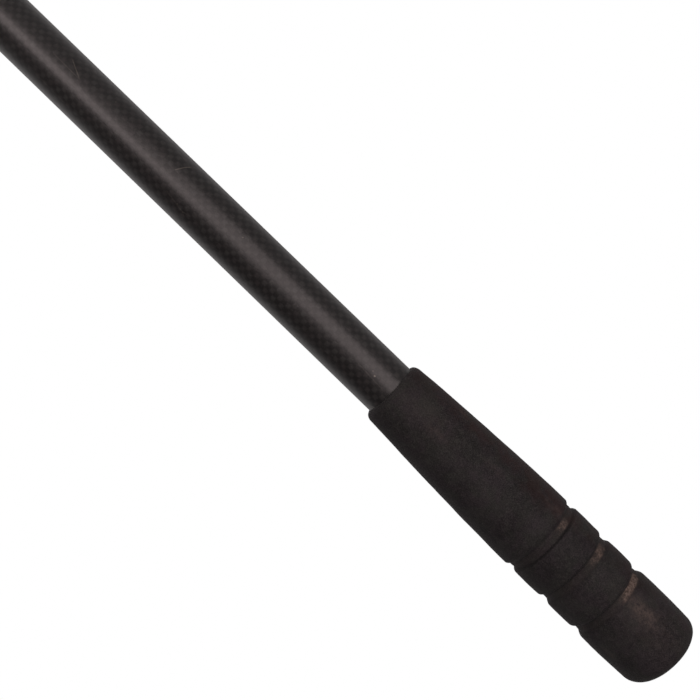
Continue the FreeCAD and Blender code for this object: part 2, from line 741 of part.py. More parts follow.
def add_gussets(body):
    """Tapering webs that run from the lugs out along the deck."""
    top, start = "Sizes.head_deck_top", "Sizes.lug_outer"
    foot, crest = f"{top} - Sizes.overlap", "Sizes.lower_pivot_height - Sizes.gusset_drop"
    for side, side_name in (("1", "right"), ("-1", "left")):
        for row, row_name in (("1", "rear"), ("-1", "front")):
            middle = f"-1 * {row} * Sizes.gusset_offset"
            web = new_sketch(body, f"gusset_{side_name}_{row_name}", "XZ_Plane", middle)
            outline(web, [
                (f"{side} * ({start} - Sizes.overlap)", foot),
                (f"{side} * ({start} - Sizes.overlap)", crest),
                (f"{side} * ({start} + Sizes.gusset_crest)", crest),
                (f"{side} * (Sizes.gusset_reach)", f"{top} + Sizes.overlap"),
                (f"{side} * (Sizes.gusset_reach + Sizes.gusset_tip)", foot),
            ])
            pad(body, web, f"gusset_pad_{side_name}_{row_name}", "Sizes.gusset_thickness",
                symmetric=True)


# ---------------------------------------------------------------- pad

def build_pad_cover():
    """A woven cover drawn round foam and plate, with a lip turned over the plate's edge."""
    body = new_body("pad_cover_blank")
    wall, height = "Sizes.cover_thickness", "Sizes.pad_height"
    outer = new_sketch(body, "cover_outline", "XY_Plane")
    rounded_rectangle(outer, "Sizes.pad_length", "Sizes.pad_width", "Sizes.pad_corner")
    pad(body, outer, "cover", height)
    fillet(body, "sole_round", "Sizes.pad_round", at_height("0"))
    fillet(body, "lip_round", "Sizes.cover_lip_round", at_height(height))
    opening = new_sketch(body, "lip_opening", "XY_Plane", height)
    rounded_rectangle(opening, "Sizes.pad_length - 2 * Sizes.cover_lip",
                      "Sizes.pad_width - 2 * Sizes.cover_lip", "Sizes.pad_corner - Sizes.cover_lip")
    pocket(body, opening, "lip", f"{height} - {wall} - Sizes.lip_margin")
    inside = pad_inside("cover_cavity", wall, f"{height} - 2 * {wall}", wall, f"Sizes.pad_round - {wall}")
    return cut("pad_cover", body, inside)


def pad_inside(label, foot, height, inset, bottom_round):
    """A block of the pad's own outline, set in all round, with its bottom edge rounded."""
    body = new_body(label)
    sketch = new_sketch(body, f"{label}_outline", "XY_Plane", foot)
    rounded_rectangle(sketch, f"Sizes.pad_length - 2 * ({inset})", f"Sizes.pad_width - 2 * ({inset})",
                      f"Sizes.pad_corner - ({inset})")
    pad(body, sketch, f"{label}_block", height)
    fillet(body, f"{label}_round", bottom_round, at_height(foot))
    return body


def build_pad_foam():
    thickness = ("Sizes.pad_height - 2 * Sizes.cover_thickness - Sizes.plate_thickness"
                 " - 3 * Sizes.fit_gap")
    return pad_inside("pad_foam", "Sizes.cover_thickness + Sizes.fit_gap", thickness,
                      "Sizes.cover_thickness + Sizes.fit_gap",
                      "Sizes.pad_round - Sizes.cover_thickness")


def build_pad_plate():
    """The pad's stiff plate, with four split posts that push into the head."""
    body = new_body("pad_plate")
    top = "Sizes.pad_height - Sizes.cover_thickness - Sizes.fit_gap"
    inset = "Sizes.cover_thickness + Sizes.fit_gap"
    sheet_outline = new_sketch(body, "plate_outline", "XY_Plane", f"{top} - Sizes.plate_thickness")
    rounded_rectangle(sheet_outline, f"Sizes.pad_length - 2 * ({inset})",
                      f"Sizes.pad_width - 2 * ({inset})", f"Sizes.pad_corner - ({inset})")
    pad(body, sheet_outline, "plate", "Sizes.plate_thickness")
    posts = new_sketch(body, "post_outline", "XY_Plane", f"{top} - Sizes.post_root")
    at_posts(lambda across, up: circle(posts, across, up, "Sizes.post_radius"))
    pad(body, posts, "posts", f"Sizes.post_top - ({top}) + Sizes.post_root")
    fillet(body, "post_tip_round", "Sizes.post_tip_round", at_height("Sizes.post_top"))
    slits = new_sketch(body, "slit_outline", "XY_Plane", "Sizes.post_top")
    reach, half_slit = "Sizes.post_slit_margin", "Sizes.post_slit / 2"
    at_posts(lambda across, up: outline(slits, [
        (f"{across} - {reach}", f"{up} - {half_slit}"), (f"{across} + {reach}", f"{up} - {half_slit}"),
        (f"{across} + {reach}", f"{up} + {half_slit}"), (f"{across} - {reach}", f"{up} + {half_slit}"),
    ]))
    pocket(body, slits, "post_slits", "Sizes.post_top - Sizes.pad_height - Sizes.post_slit_foot")
    return body


# ---------------------------------------------------------------- assembly

ALONG_X, ALONG_Y = V(1, 0, 0), V(0, 1, 0)
UPPER, LOWER = "Sizes.upper_pivot_height", "Sizes.lower_pivot_height"

parts = [
    build_shaft_tube(),
    build_shaft_insert(),
    build_shaft_end_plug(),
    build_grip_sleeve(),
    build_ferrule(),
    build_ferrule_screws(),
    build_pivot_bolt("upper_pivot_bolt", -ALONG_Y, UPPER),
    build_pivot_nut("upper_pivot_nut", -ALONG_Y, UPPER),
    build_pivot_washers("upper_pivot_washers", -ALONG_Y, UPPER),
    build_pivot_block(),
    build_bush("upper_bush_front", -ALONG_Y, UPPER),
    build_bush("upper_bush_rear", ALONG_Y, UPPER),
    build_bush("lower_bush_left", -ALONG_X, LOWER),
    build_bush("lower_bush_right", ALONG_X, LOWER),
    build_head_body(),
    build_pivot_bolt("lower_pivot_bolt", ALONG_X, LOWER),
    build_pivot_nut("lower_pivot_nut", ALONG_X, LOWER),
    build_pivot_washers("lower_pivot_washers", ALONG_X, LOWER),
    build_pad_plate(),
    build_pad_foam(),
    build_pad_cover(),
]

doc.recompute()
for thing in doc.Objects:
    if {"Invalid", "Error"} & set(thing.State):
        raise RuntimeError(f"{thing.Label} failed: {thing.State}")
for part in parts:
    if part.Shape.isNull() or not part.Shape.isValid() or part.Shape.Volume <= 0:
        raise RuntimeError(f"{part.Label} has no valid solid")

os.makedirs("parts", exist_ok=True)
for part in parts:
    part.Shape.exportStep(f"parts/{part.Label}.step")
    box = part.Shape.BoundBox
    print(f"{part.Label}: {part.Shape.Volume / 1000:.2f} cm3, {len(part.Shape.Solids)} solid(s), "
          f"x {box.XMin:.1f} to {box.XMax:.1f}, y {box.YMin:.1f} to {box.YMax:.1f}, "
          f"z {box.ZMin:.1f} to {box.ZMax:.1f}")
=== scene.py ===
import math
from collections import namedtuple

import bpy
import numpy as np
from mathutils import Matrix, Vector, noise


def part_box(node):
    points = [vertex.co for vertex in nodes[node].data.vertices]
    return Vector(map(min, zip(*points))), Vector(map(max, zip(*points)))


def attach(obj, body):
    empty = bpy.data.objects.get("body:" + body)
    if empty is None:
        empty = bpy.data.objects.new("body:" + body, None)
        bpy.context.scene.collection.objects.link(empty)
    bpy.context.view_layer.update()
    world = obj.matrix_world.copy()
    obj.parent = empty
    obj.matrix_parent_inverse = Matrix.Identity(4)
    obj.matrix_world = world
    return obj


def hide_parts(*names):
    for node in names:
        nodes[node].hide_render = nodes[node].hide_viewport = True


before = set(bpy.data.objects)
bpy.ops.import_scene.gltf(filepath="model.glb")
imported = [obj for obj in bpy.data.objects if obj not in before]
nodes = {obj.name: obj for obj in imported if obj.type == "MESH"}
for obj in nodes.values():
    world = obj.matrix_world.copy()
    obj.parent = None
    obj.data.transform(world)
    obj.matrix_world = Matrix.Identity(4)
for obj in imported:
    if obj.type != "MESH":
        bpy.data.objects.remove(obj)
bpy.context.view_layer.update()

MM = 0.001
FRONT = -math.pi / 2          # azimuth of the side that faces the main camera

# ---------------------------------------------------------------- node graph helpers


class Graph:
    """A node tree, with short calls for the nodes that this script uses."""

    def __init__(self, tree, coordinates="Object"):
        self.tree = tree
        self.place = self.node("ShaderNodeTexCoord").outputs[coordinates]

    def node(self, kind, **settings):
        made = self.tree.nodes.new(kind)
        for name, setting in settings.items():
            setattr(made, name, setting)
        return made

    def feed(self, socket, source):
        """Gives a socket a link or a plain value. None leaves the socket as it is."""
        if isinstance(source, bpy.types.NodeSocket):
            self.tree.links.new(source, socket)
        elif source is not None:
            socket.default_value = source

    def feed_all(self, sockets, sources):
        for socket, source in zip(sockets, sources):
            self.feed(socket, source)

    def math(self, operation, a, b=None, c=None, clamp=False):
        made = self.node("ShaderNodeMath", operation=operation, use_clamp=clamp)
        self.feed_all(made.inputs, (a, b, c))
        return made.outputs[0]

    def plus(self, a, b, clamp=False):
        return self.math("ADD", a, b, clamp=clamp)

    def minus(self, a, b):
        return self.math("SUBTRACT", a, b)

    def times(self, a, b, clamp=False):
        return self.math("MULTIPLY", a, b, clamp=clamp)

    def scaled(self, value, gain, shift):
        """The value times a gain, plus a shift."""
        return self.math("MULTIPLY_ADD", value, gain, shift)

    def swing(self, value, size):
        """A value between 0 and 1, carried to a swing of the given size about zero."""
        return self.scaled(value, size, -size / 2)

    def axes(self):
        made = self.node("ShaderNodeSeparateXYZ")
        self.feed(made.inputs[0], self.place)
        return made.outputs

    def point(self, x, y, z):
        made = self.node("ShaderNodeCombineXYZ")
        self.feed_all(made.inputs, (x, y, z))
        return made.outputs[0]

    def radius(self):
        """The distance from the Z axis."""
        x, y, _ = self.axes()
        return self.math("SQRT", self.plus(self.times(x, x), self.times(y, y)))

    def distance_from(self, spot):
        made = self.node("ShaderNodeVectorMath", operation="DISTANCE")
        self.feed_all(made.inputs, (self.place, spot))
        return made.outputs["Value"]

    def noise(self, scale, detail=2.0, rough=0.5, at=None, warp=0.0):
        made = self.node("ShaderNodeTexNoise")
        settings = {"Vector": at or self.place, "Scale": scale, "Detail": detail,
                    "Roughness": rough, "Distortion": warp}
        for socket, source in settings.items():
            self.feed(made.inputs[socket], source)
        return made.outputs[0]

    def cells(self, scale, feature="F1", at=None):
        made = self.node("ShaderNodeTexVoronoi", feature=feature)
        self.feed(made.inputs["Vector"], at or self.place)
        self.feed(made.inputs["Scale"], scale)
        return made.outputs["Distance"]

    def attribute(self, name):
        return self.node("ShaderNodeAttribute", attribute_name=name).outputs["Fac"]

    def span(self, value, low, high, to_low=0.0, to_high=1.0):
        """The value carried smoothly from one range to another, held at both ends."""
        made = self.node("ShaderNodeMapRange", interpolation_type="SMOOTHSTEP")
        self.feed_all(made.inputs, (value, low, high, to_low, to_high))
        return made.outputs[0]

    def blend(self, share, first, second):
        """A number between two numbers."""
        made = self.node("ShaderNodeMix", data_type="FLOAT")
        self.feed_all((made.inputs[0], made.inputs[2], made.inputs[3]), (share, first, second))
        return made.outputs[0]

    def mix(self, share, first, second, kind="MIX"):
        """A colour between two colours, or with kind MULTIPLY their product."""
        made = self.node("ShaderNodeMix", data_type="RGBA", blend_type=kind)
        colours = [(*source, 1.0) if isinstance(source, tuple) else source
                   for source in (first, second)]
        self.feed_all((made.inputs[0], made.inputs[6], made.inputs[7]), (share, *colours))
        return made.outputs[2]

    def bump(self, height, distance, strength):
        made = self.node("ShaderNodeBump")
        settings = {"Height": height, "Distance": distance, "Strength": strength}
        for socket, source in settings.items():
            self.feed(made.inputs[socket], source)
        return made.outputs[0]


class Surface(Graph):
    """A new material's node tree, with constants for its shader's sockets."""

    def __init__(self, name, **constants):
        self.material = bpy.data.materials.new(name)
        self.material.use_nodes = True
        super().__init__(self.material.node_tree)
        self.shader = self.tree.nodes["Principled BSDF"]
        for socket, number in constants.items():
            self.shader.inputs[socket.replace("_", " ")].default_value = number

    def finish(self, colour, roughness, normal=None, alpha=None):
        sources = {"Base Color": colour, "Roughness": roughness, "Normal": normal, "Alpha": alpha}
        for socket, source in sources.items():
            self.feed(self.shader.inputs[socket], source)
        return self.material


# ---------------------------------------------------------------- carbon

SHAFT_RADIUS = 12.7 * MM
TOW_PITCH = 2.347 * MM
TOWS_AROUND = 34
# Weft and warp tow colours: the warp tows' lighter colour is a painted sheen, for how tows reflect
# along their fibres.
WEFT_SHADES = ((0.0078, 0.0070, 0.0070), (0.0112, 0.0100, 0.0098))
WARP_SHEEN_SHADES = ((0.037, 0.0325, 0.0325), (0.050, 0.0435, 0.043))
RESIN_TINT = (0.030, 0.036, 0.033)
CHIPPED_COAT = (0.19, 0.17, 0.145)
SHAFT_SPECKS = (              # height, azimuth and radius of each chip in the clear coat
    (1.0250, FRONT + 0.02, 0.55 * MM),
    (1.0230, FRONT - 0.06, 0.3 * MM),
    (1.0273, FRONT + 1.2, 0.35 * MM),
    (0.9430, FRONT - 0.25, 0.3 * MM),
    (0.9120, FRONT + 0.5, 0.22 * MM),
    (0.8610, FRONT - 0.6, 0.25 * MM),
    (0.7400, 1.1, 0.4 * MM),
    (0.5200, -0.4, 0.35 * MM),
    (0.3300, 2.6, 0.4 * MM),
)


def carbon_material():
    """Plain-weave carbon under a satin clear coat, its tows along and around the Z axis, the tows
    along it painted lighter as a painted sheen.
    """
    g = Surface("carbon_weave", Specular_IOR_Level=0.25, Coat_Weight=1.0, Coat_Roughness=0.36,
                Coat_IOR=1.5)
    x, y, z = g.axes()
    around = g.times(g.math("ARCTAN2", y, x), TOWS_AROUND / (2 * math.pi))
    along = g.plus(g.math("DIVIDE", z, TOW_PITCH), g.swing(g.noise(60, 1), 0.5))
    column, row = g.math("FLOOR", around), g.math("FLOOR", along)
    warp_on_top = g.math("FLOORED_MODULO", g.plus(column, row), 2.0)
    arches = [g.math("SINE", g.times(g.math("FRACT", run), math.pi)) for run in (around, along)]
    crown = g.math("POWER", g.times(*arches), 0.55)
    warp_fibres = g.noise(1.0, 3, 0.6, g.point(g.times(around, 14), g.times(along, 0.7), 0.0))
    weft_fibres = g.noise(1.0, 3, 0.6, g.point(g.times(around, 0.7), g.times(along, 14), 5.0))
    fibre = g.blend(warp_on_top, weft_fibres, warp_fibres)
    cell = g.node("ShaderNodeTexWhiteNoise", noise_dimensions="3D")
    g.feed(cell.inputs["Vector"], g.point(column, row, 0.0))
    chance = cell.outputs["Value"]

    # Tows that run along the shaft are painted lighter than those that run round it: painted sheen.
    tone = g.scaled(warp_on_top, 0.56, 0.04)
    for uneven, size in ((fibre, 0.9), (chance, 0.34), (g.noise(420, 3, 0.7), 1.1)):
        tone = g.plus(tone, g.swing(uneven, size))
    tone = g.times(tone, g.scaled(crown, 0.55, 0.45), clamp=True)
    drift = g.noise(22, 2)
    light = g.mix(g.times(chance, 0.5), g.mix(drift, *WARP_SHEEN_SHADES), RESIN_TINT)
    colour = g.mix(tone, g.mix(drift, *WEFT_SHADES), light)

    stretched = g.point(g.times(around, 0.22), g.times(along, 0.045), 2.0)
    scratches = g.span(g.cells(1.0, "DISTANCE_TO_EDGE", stretched), 0.005, 0.0)
    marks = g.times(g.times(scratches, g.span(g.noise(35, 1), 0.62, 0.68)), 0.6)
    for height, turn, size in SHAFT_SPECKS:
        spot = Vector((math.cos(turn) * SHAFT_RADIUS, math.sin(turn) * SHAFT_RADIUS, height))
        marks = g.math("MAXIMUM", marks, g.span(g.distance_from(spot), size, 0.4 * size))
    colour = g.mix(marks, colour, CHIPPED_COAT)
    relief = g.plus(crown, g.times(fibre, 0.25))
    return g.finish(colour, g.scaled(fibre, 0.12, 0.36), g.bump(relief, 0.06 * MM, 0.6))


# ---------------------------------------------------------------- foam

FOAM_SHADES = ((0.0150, 0.0130, 0.0135), (0.0300, 0.0262, 0.0265))
FOAM_BLOTCH = (0.0105, 0.0092, 0.0105)
FOAM_MOTTLE = (0.047, 0.0405, 0.0400)
FOAM_GRAIN = (0.066, 0.057, 0.056)
FOAM_PORE = (0.0085, 0.0075, 0.0078)
FOAM_TINTS = ((1.03, 1.04, 1.12), (0.97, 1.12, 1.05))
FOAM_STAIN = (0.034, 0.0165, 0.0150)
# The next colour is for rubbed patches and for a painted highlight.
FOAM_RUBBED_AND_LIT = (0.099, 0.078, 0.069)
FOAM_FAINT_WEAR = (0.046, 0.039, 0.034)
FOAM_TANS = ((0.078, 0.058, 0.049), (0.230, 0.175, 0.145))
# The next colour is for dirt and for painted shade.
FOAM_DIRT_AND_SHADE = (0.0045, 0.0038, 0.0037)
FOAM_SPECK = (0.10, 0.085, 0.07)


def foam_material():
    """Closed-cell foam grip: near black, worn tan in its grooves, stained on one side, with painted
    shade along its creases and flanks and a painted highlight on its end piece.
    """
    g = Surface("grip_foam_skin", Specular_IOR_Level=0.15, Sheen_Weight=0.05, Sheen_Roughness=0.5)
    wear, stain, dirt_and_shade, rub_and_highlight = (g.attribute(name) for name in ("wear", "stain", "dirt_and_shade", "rub_and_highlight"))
    grain, mottle = g.noise(2300, 3, 0.7), g.noise(430, 4, 0.7)
    cloud, blotch = g.noise(60, 3, warp=0.5), g.noise(135, 3, 0.6, warp=0.8)
    colour = g.mix(g.span(cloud, 0.3, 0.7), *FOAM_SHADES)
    layers = (
        (blotch, 0.50, 0.72, 0.45, FOAM_BLOTCH),
        (mottle, 0.42, 0.72, 0.60, FOAM_MOTTLE),
        (grain, 0.44, 0.70, 0.60, FOAM_GRAIN),
        (grain, 0.50, 0.30, 0.50, FOAM_PORE),
    )
    for pattern, low, high, strength, shade in layers:
        colour = g.mix(g.times(g.span(pattern, low, high), strength), colour, shade)
    tint = g.mix(g.span(g.noise(120, 3, warp=0.8), 0.35, 0.65), *FOAM_TINTS)
    colour = g.mix(1.0, colour, tint, "MULTIPLY")

    stained = g.times(stain, g.span(g.noise(140, 4, 0.65), 0.34, 0.66), clamp=True)
    colour = g.mix(g.times(stained, 0.55), colour, FOAM_STAIN)
    # Paler rubbed patches and scrapes, and a painted highlight on the end piece.
    rubbed_and_lit = g.times(rub_and_highlight, g.span(g.noise(480, 4, 0.75), 0.28, 0.72), clamp=True)
    colour = g.mix(g.times(rubbed_and_lit, 0.9), colour, FOAM_RUBBED_AND_LIT)
    faint = g.times(g.span(wear, 0.02, 0.3), g.times(blotch, 0.5))
    colour = g.mix(faint, colour, FOAM_FAINT_WEAR)
    broken = g.scaled(g.noise(380, 4, 0.8), 2.4, -0.45)
    tan = g.mix(g.span(g.noise(1000, 3, 0.7), 0.32, 0.68), *FOAM_TANS)
    colour = g.mix(g.span(g.times(wear, broken), 0.12, 1.15), colour, tan)
    # Darker for dirt and painted shade along the creases, painted shadow lines beside the groove
    # floors, painted shade on the front's flanks, and darker spots.
    colour = g.mix(g.times(dirt_and_shade, 0.85, clamp=True), colour, FOAM_DIRT_AND_SHADE)
    specks = g.times(g.span(g.cells(240), 0.10, 0.03), g.span(g.noise(95, 2), 0.62, 0.70))
    colour = g.mix(g.times(specks, 0.6), colour, FOAM_SPECK)
    pores = g.plus(g.times(grain, 0.6), mottle)
    return g.finish(colour, g.scaled(mottle, 0.2, 0.62), g.bump(pores, 0.14 * MM, 0.8))


# ---------------------------------------------------------------- moulded plastic, steel, fabric

STEEL_SHADES = ((0.46, 0.45, 0.43), (0.66, 0.65, 0.62))
TURNING_MARKS = 5200          # per metre
THREAD_PITCH = 0.62 * MM
STITCH_PITCH = 2.8 * MM
FABRIC_SHADES = ((0.020, 0.020, 0.022), (0.058, 0.058, 0.062))
FABRIC_SCUFF = (0.15, 0.15, 0.155)
STITCH_THREAD = (0.30, 0.30, 0.31)


def moulded_material(name, low, high, roughness, grain, relief):
    """Moulded plastic: a fine spark grain, faint flow clouds, rubbed spots and hair scratches."""
    g = Surface(name, Specular_IOR_Level=0.45)
    fine, cloud = g.noise(grain, 3, 0.6), g.noise(45, 3, 0.6, warp=0.4)
    scuffs = g.times(g.span(g.noise(260, 4, 0.7), 0.62, 0.72), g.span(g.noise(30, 2), 0.5, 0.65))
    x, y, z = g.axes()
    along = g.plus(g.times(x, 28), g.times(z, 34))
    across = g.minus(g.times(x, 330), g.times(z, 290))
    contours = g.minus(g.noise(1.0, 1, 0.5, g.point(along, g.times(y, 260), across)), 0.5)
    hairs = g.span(g.math("ABSOLUTE", contours), 0.02, 0.004)
    scratches = g.times(hairs, g.span(g.noise(70, 2), 0.56, 0.64))
    colour = g.mix(cloud, low, high)
    paler = tuple(min(1.0, 2.2 * channel + 0.01) for channel in high)
    for marks, strength in ((scuffs, 0.5), (scratches, 0.5), (g.span(fine, 0.5, 0.7), 0.35)):
        colour = g.mix(g.times(marks, strength), colour, paler)
    rough = g.scaled(g.noise(120, 3), 0.22, roughness - 0.11)
    return g.finish(colour, rough, g.bump(fine, relief, 0.9))


def steel_material():
    """Stainless steel with fine turning marks and slight tarnish."""
    g = Surface("turned_steel", Metallic=1.0)
    height = g.axes()[2]
    turned = g.point(g.times(g.radius(), TURNING_MARKS), g.times(height, TURNING_MARKS), 0.0)
    marks = g.noise(1.0, 3, 0.7, turned)
    colour = g.mix(g.noise(160, 3), *STEEL_SHADES)
    return g.finish(colour, g.scaled(marks, 0.22, 0.2), g.bump(marks, 0.015 * MM, 0.5))


def fabric_material():
    """Tight plain-woven nylon, with its seam stitched in paler thread."""
    g = Surface("pad_weave", Specular_IOR_Level=0.35, Sheen_Weight=0.25, Sheen_Roughness=0.45)
    x, y, z = g.axes()
    run, girth, side = (g.attribute(name) for name in ("run", "girth", "side"))
    waves = [g.math("SINE", g.times(g.blend(side, on_sole, on_side), math.pi / THREAD_PITCH))
             for on_sole, on_side in ((x, run), (y, girth))]
    over = g.times(*waves)
    threads = g.math("MAXIMUM", *(g.math("ABSOLUTE", wave) for wave in waves))
    tone = g.plus(g.scaled(over, 0.3, 0.5), g.swing(g.noise(60, 4, 0.65), 0.7), clamp=True)
    colour = g.mix(tone, *FABRIC_SHADES)
    scuff = g.times(g.span(g.noise(90, 4, 0.7), 0.56, 0.75), g.span(z, 2.5 * MM, 0.0))
    colour = g.mix(g.times(scuff, 0.5), colour, FABRIC_SCUFF)
    off_seam = g.math("ABSOLUTE", g.minus(z, SEAM_HEIGHT))
    dash = g.math("FRACT", g.math("DIVIDE", run, STITCH_PITCH))
    dashes = g.times(g.span(dash, 0.08, 0.16), g.span(dash, 0.84, 0.76))
    stitch = g.times(g.times(g.span(off_seam, 0.34 * MM, 0.16 * MM), dashes), side)
    colour = g.mix(stitch, colour, STITCH_THREAD)
    relief = g.scaled(stitch, 2.5, g.plus(g.times(over, 0.5), threads))
    return g.finish(colour, g.scaled(g.noise(400, 2), 0.15, 0.68), g.bump(relief, 0.10 * MM, 0.8))


# ---------------------------------------------------------------- mesh helpers


def mesh_object(name, points, faces, material):
    mesh = bpy.data.meshes.new(name)
    mesh.from_pydata([tuple(p) for p in points], [], faces)
    mesh.materials.append(material)
    mesh.shade_smooth()
    mesh.update()
    made = bpy.data.objects.new(name, mesh)
    bpy.context.scene.collection.objects.link(made)
    return made


def add_attribute(made, name, values, domain="POINT"):
    layer = made.data.attributes.new(name, "FLOAT", domain)
    layer.data.foreach_set("value", np.asarray(values, np.float32))


def ring_faces(rings, segments):
    """Quads between neighbouring rings of vertices, each ring with the same number of them."""
    faces = []
    for ring in range(rings - 1):
        low, high = ring * segments, (ring + 1) * segments
        for i in range(segments):
            j = (i + 1) % segments
            faces.append((low + i, low + j, high + j, high + i))
    return faces


def smooth(low, high, value):
    share = np.clip((value - low) / (high - low), 0, 1)
    return share * share * (3 - 2 * share)


def roughen(points, scale, amount, seed):
    """A signed noise value for each point, at the given scale in metres."""
    shift = Vector((seed * 7.13, seed * 3.71, seed * 5.39))
    return np.array([noise.noise(Vector(p) / scale + shift) for p in points]) * amount


# ---------------------------------------------------------------- grip
# Distances along the grip are from its collar, and angles are from the side that faces the camera.

GRIP_SEGMENTS = 160
GRIP_FLARE = 18.86 * MM
GRIP_FLARE_END = 88 * MM
GRIP_TAPER_DEPTH = 3.56 * MM  # how much thinner the collar is than the flare
GRIP_TAPER_POWER = 1.55
GRIP_BAND = 18.85 * MM
BAND_SINK = 0.17 * MM         # how far a band's edges lie below the nominal band
BAND_CROWN = 0.28 * MM        # and how far its middle rises from its edges
BARREL_RISE = 0.20 * MM
BARREL_CROWN = 0.16 * MM
BARREL_TAPER = 1.4 * MM       # the end piece thins towards its tip, from this share of its length on
BARREL_TAPER_START = 0.25
BARREL_BLEND = 1.3 * MM
COLLAR_ROUND = 2.5 * MM
COLLAR_RUN = 3.8 * MM         # the collar's rounding is longer than it is deep
COLLAR_SLANT = 1.0 * MM       # its front stands this much further from the shaft than its sides
COLLAR_SLANT_REACH = 30 * MM
END_DROP = 0.95 * MM          # how far the end lies below its CAD solid's, on average
END_SLANT = 0.045             # slope of the end face, falling towards +X
END_ROUND = 6.0 * MM
END_DOME = 0.9 * MM
BORE = 12.75 * MM
BORE_EDGE = 0.3 * MM
BORE_CLEARANCE = 0.05 * MM    # between the shaft's end plug and the bore's blind end
SKIN_NOISE = ((9 * MM, 0.13 * MM, 1), (3.2 * MM, 0.05 * MM, 2))    # scale, amount and seed
SKIN_RISE = 0.02 * MM
COLLAR_NOISE = (5 * MM, 0.22 * MM, 3)
FINE_STEP = 0.25 * MM         # between rings of vertices at a groove
FINE_STEPS = 17               # to each side of a groove's middle
COARSE_STEP = 1.0 * MM
COARSE_CLEARANCE = 4.7 * MM   # no coarse ring lies this near a groove's middle

# A groove's crease is its steep wall at the front: the one nearer the shaft at side -1, the one
# nearer the end at side 1. Its foot moves outwards there by the shift. The foam is worn through
# to its tan inside from one angle to the other, in degrees.
# crease_strength is how dark the line of painted shade and dirt along the crease is.
Groove = namedtuple("Groove", "middle floor shaft_wall end_wall depth crease_side crease_shift "
                              "crease_strength tan_start tan_end tan_strength")
GROOVES = (
    Groove(middle=91.6 * MM, floor=2.6 * MM, shaft_wall=1.9 * MM, end_wall=1.8 * MM,
           depth=1.2 * MM, crease_side=1, crease_shift=0.9 * MM, crease_strength=1.0,
           tan_start=-44, tan_end=-28, tan_strength=1.35),
    Groove(middle=110.75 * MM, floor=3.1 * MM, shaft_wall=1.35 * MM, end_wall=2.85 * MM,
           depth=1.2 * MM, crease_side=-1, crease_shift=0.2 * MM, crease_strength=0.9,
           tan_start=-63, tan_end=-22, tan_strength=0.86),
    Groove(middle=129.85 * MM, floor=2.6 * MM, shaft_wall=2.0 * MM, end_wall=3.3 * MM,
           depth=1.4 * MM, crease_side=-1, crease_shift=0.5 * MM, crease_strength=0.65,
           tan_start=-68, tan_end=-18, tan_strength=1.4),
)
LAST_GROOVE = GROOVES[-1].middle

# Spots on the grip: distance in mm, angle in degrees, reach in each, strength, softness.
STAINS = (
    (38, -62, 55, 24, 1.0, 1.0),
    (78, -40, 16, 16, 0.8, 1.0),
    (100, -60, 70, 20, 0.6, 1.0),
)
# Rubbed patches and scrapes; the first two rows are the end piece's rubbed patch and a broad painted
# highlight round it.
RUBS_AND_HIGHLIGHTS = (
    (139, -21, 7, 9, 1.2, 1.7),
    (146, -14, 17, 22, 0.28, 1.8),
    (18, -12, 16, 20, 0.14, 1.5),
    (27, -1, 5, 6, 0.30, 1.6),
    (30.5, -60, 2.2, 5, 0.45, 1.6),
    (54, -22, 6, 5, 0.22, 1.6),
    (80, -44, 7, 4, 0.25, 1.6),
    (86, -38, 5, 6, 0.35, 1.6),
    (129, 61, 2, 5, 0.60, 1.6),
    (144, 53, 3.5, 5, 0.45, 1.6),
)
# Darker spots on the grip.
DARK_SPOTS = (
    (64, -38, 15, 9, 0.3, 1.3),
    (6, -48, 16, 30, 0.22, 1.4),
)


def angle_from_front(azimuth):
    """Signed angle from the camera's side, positive towards +X."""
    return (azimuth - FRONT + math.pi) % (2 * math.pi) - math.pi


def facing_front(turn):
    """1 on the side that faces the camera, fading to 0 round both flanks."""
    return smooth(0.22, 0.85, np.cos(turn))


def grip_radius(a, length):
    """The grip's radius along its length, before the grooves are cut and the ends rounded."""
    left = np.clip((GRIP_FLARE_END - a) / GRIP_FLARE_END, 0, 1)
    taper = GRIP_FLARE - GRIP_TAPER_DEPTH * left ** GRIP_TAPER_POWER
    radius = np.where(a < GRIP_FLARE_END, taper, GRIP_BAND)
    for low, high in ((near.middle, far.middle) for near, far in zip(GROOVES, GROOVES[1:])):
        inside = (a > low) & (a <= high)
        crown = np.sin(np.clip((a - low) / (high - low), 0, 1) * math.pi)
        radius = np.where(inside, GRIP_BAND - BAND_SINK + BAND_CROWN * crown, radius)
    share = (a - LAST_GROOVE) / (length - LAST_GROOVE)
    barrel = GRIP_BAND + BARREL_RISE + BARREL_CROWN * np.sin(np.clip(share, 0, 1) * math.pi)
    barrel = barrel - BARREL_TAPER * np.clip(share - BARREL_TAPER_START, 0, 1) ** 2
    return radius + smooth(-BARREL_BLEND, BARREL_BLEND, a - LAST_GROOVE) * (barrel - radius)


def groove_depth(a, turn):
    """How deep the grooves cut at a distance along the grip and an angle from the front."""
    facing = facing_front(turn)
    cut = np.zeros(len(a))
    for groove in GROOVES:
        near_foot = far_foot = groove.floor / 2
        near_wall, far_wall = groove.shaft_wall, groove.end_wall
        steep, shift = 1 - 0.5 * facing, groove.crease_shift * facing
        if groove.crease_side < 0:
            near_foot, near_wall = near_foot + shift, near_wall * steep
        else:
            far_foot, far_wall = far_foot + shift, far_wall * steep
            near_wall = near_wall * (1 + 0.2 * facing)
        away = a - groove.middle
        near = 1 - smooth(0, 1, (-away - near_foot) / near_wall)
        far = 1 - smooth(0, 1, (away - far_foot) / far_wall)
        cut = np.maximum(cut, groove.depth * np.where(away < 0, near, far))
    return cut


